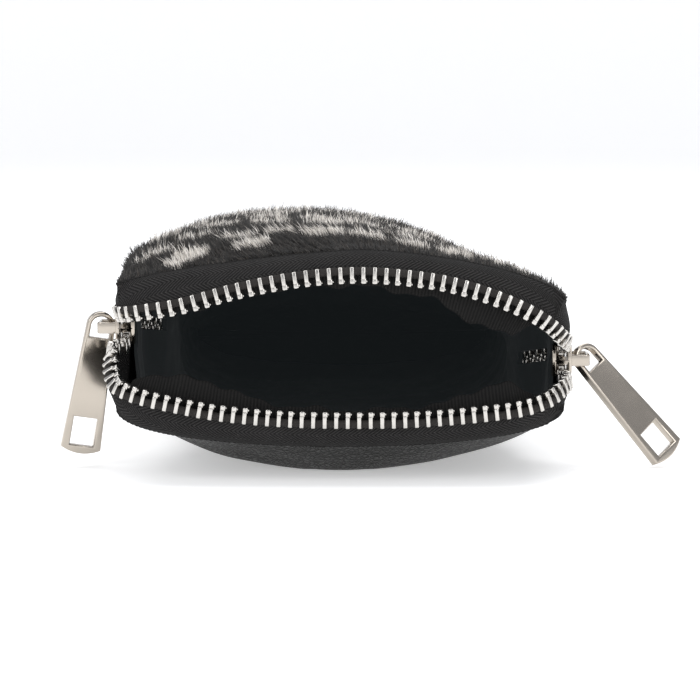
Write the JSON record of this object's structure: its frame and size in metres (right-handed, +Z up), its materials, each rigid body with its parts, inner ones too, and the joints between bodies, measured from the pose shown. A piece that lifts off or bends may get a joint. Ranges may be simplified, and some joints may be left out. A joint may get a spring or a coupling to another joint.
{
  "type": "phone bag",
  "caption": "Soft zip pouch for a phone: short-pile front, grained leather back, metal zip round its mouth with long flat pulls, shown open and lying on its back",
  "frame": {"origin": "middle of the flat patch of the back panel that the pouch rests on", "axes": "+Y from the open mouth to the closed end, +Z up through the front panel, X across the mouth"},
  "size_m": [0.1561, 0.1861, 0.0608],
  "materials": {
    "short_pile": "short black pile with off-white patches",
    "grained_leather": "black, pebbled grain, slight sheen",
    "woven_tape": "black twill tape",
    "nickel": "polished warm nickel",
    "lining_cloth": "thin black cloth",
    "facing_cloth": "fine ribbed dark grey cloth"
  },
  "bodies": {
    "bag": {"front_panel": "short_pile", "back_panel": "grained_leather", "zip_tape_front": "woven_tape", "zip_tape_back": "woven_tape", "zip_teeth_front": "nickel", "zip_teeth_back": "nickel", "lining": "lining_cloth", "lining_edge_front": "facing_cloth", "lining_edge_back": "facing_cloth", "slider_left": "nickel", "slider_right": "nickel"},
    "pull_left": {"pull_left": "nickel"},
    "pull_right": {"pull_right": "nickel"}
  },
  "joints": [
    {"name": "pull_left_swing", "type": "hinge", "parent": "bag", "child": "pull_left", "pos_m": [-0.06, -0.064, 0.0353], "axis": [0, 1, 0], "range_deg": [-8, 160]},
    {"name": "pull_right_swing", "type": "hinge", "parent": "bag", "child": "pull_right", "pos_m": [0.0617, -0.064, 0.0272], "axis": [0, -1, 0], "range_deg": [-1, 136]}
  ]
}
